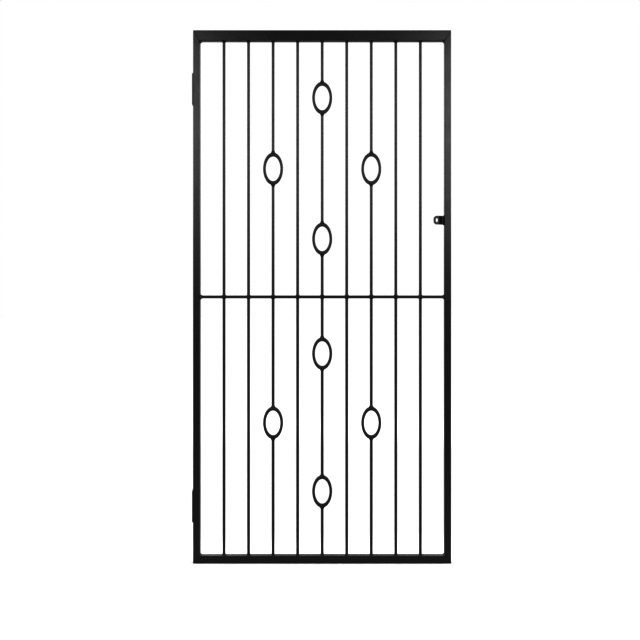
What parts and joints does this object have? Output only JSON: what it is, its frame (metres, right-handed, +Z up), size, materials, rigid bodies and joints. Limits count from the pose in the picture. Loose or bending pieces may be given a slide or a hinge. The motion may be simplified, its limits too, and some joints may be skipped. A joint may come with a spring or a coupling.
{
  "type": "security grille door",
  "caption": "Single-leaf steel security grille door: mitred tube frame, upright round bars with oval rings, a threaded middle rail, a padlock lug and butt hinges.",
  "frame": {"origin": "middle of the lower hinge's fixed leaf, on its flat outer face, at half the door's thickness", "axes": "+X from the hinges to the lock side, +Y to the back of the door, +Z up"},
  "size_m": [1.0068, 0.0503, 2.068],
  "materials": {
    "frame_paint": "semi-gloss black paint",
    "bar_paint": "semi-gloss black paint",
    "ring_paint": "semi-gloss black paint",
    "lug_paint": "semi-gloss black paint",
    "hinge_leaf": "black paint, worn at the knuckles",
    "hinge_pin": "bare steel"
  },
  "bodies": {
    "hinge_side": {"lower_fixed_leaf": "hinge_leaf", "lower_pin": "hinge_pin", "upper_fixed_leaf": "hinge_leaf", "upper_pin": "hinge_pin"},
    "door_leaf": {"bar_1": "bar_paint", "bar_2": "bar_paint", "bar_3_length_1": "bar_paint", "bar_3_length_2": "bar_paint", "bar_3_length_3": "bar_paint", "bar_3_ring_1": "ring_paint", "bar_3_ring_2": "ring_paint", "bar_4": "bar_paint", "bar_5_length_1": "bar_paint", "bar_5_length_2": "bar_paint", "bar_5_length_3": "bar_paint", "bar_5_length_4": "bar_paint", "bar_5_length_5": "bar_paint", "bar_5_ring_1": "ring_paint", "bar_5_ring_2": "ring_paint", "bar_5_ring_3": "ring_paint", "bar_5_ring_4": "ring_paint", "bar_6": "bar_paint", "bar_7_length_1": "bar_paint", "bar_7_length_2": "bar_paint", "bar_7_length_3": "bar_paint", "bar_7_ring_1": "ring_paint", "bar_7_ring_2": "ring_paint", "bar_8": "bar_paint", "bar_9": "bar_paint", "bottom_rail": "frame_paint", "hinge_stile": "frame_paint", "lock_lug": "lug_paint", "lock_stile": "frame_paint", "lower_moving_leaf": "hinge_leaf", "mid_rail": "frame_paint", "top_rail": "frame_paint", "upper_moving_leaf": "hinge_leaf"}
  },
  "joints": [
    {"name": "door_swing", "type": "hinge", "parent": "hinge_side", "child": "door_leaf", "pos_m": [0.002, 0.02545, 0], "axis": [0, 0, 1], "range_deg": [0, 180]}
  ]
}
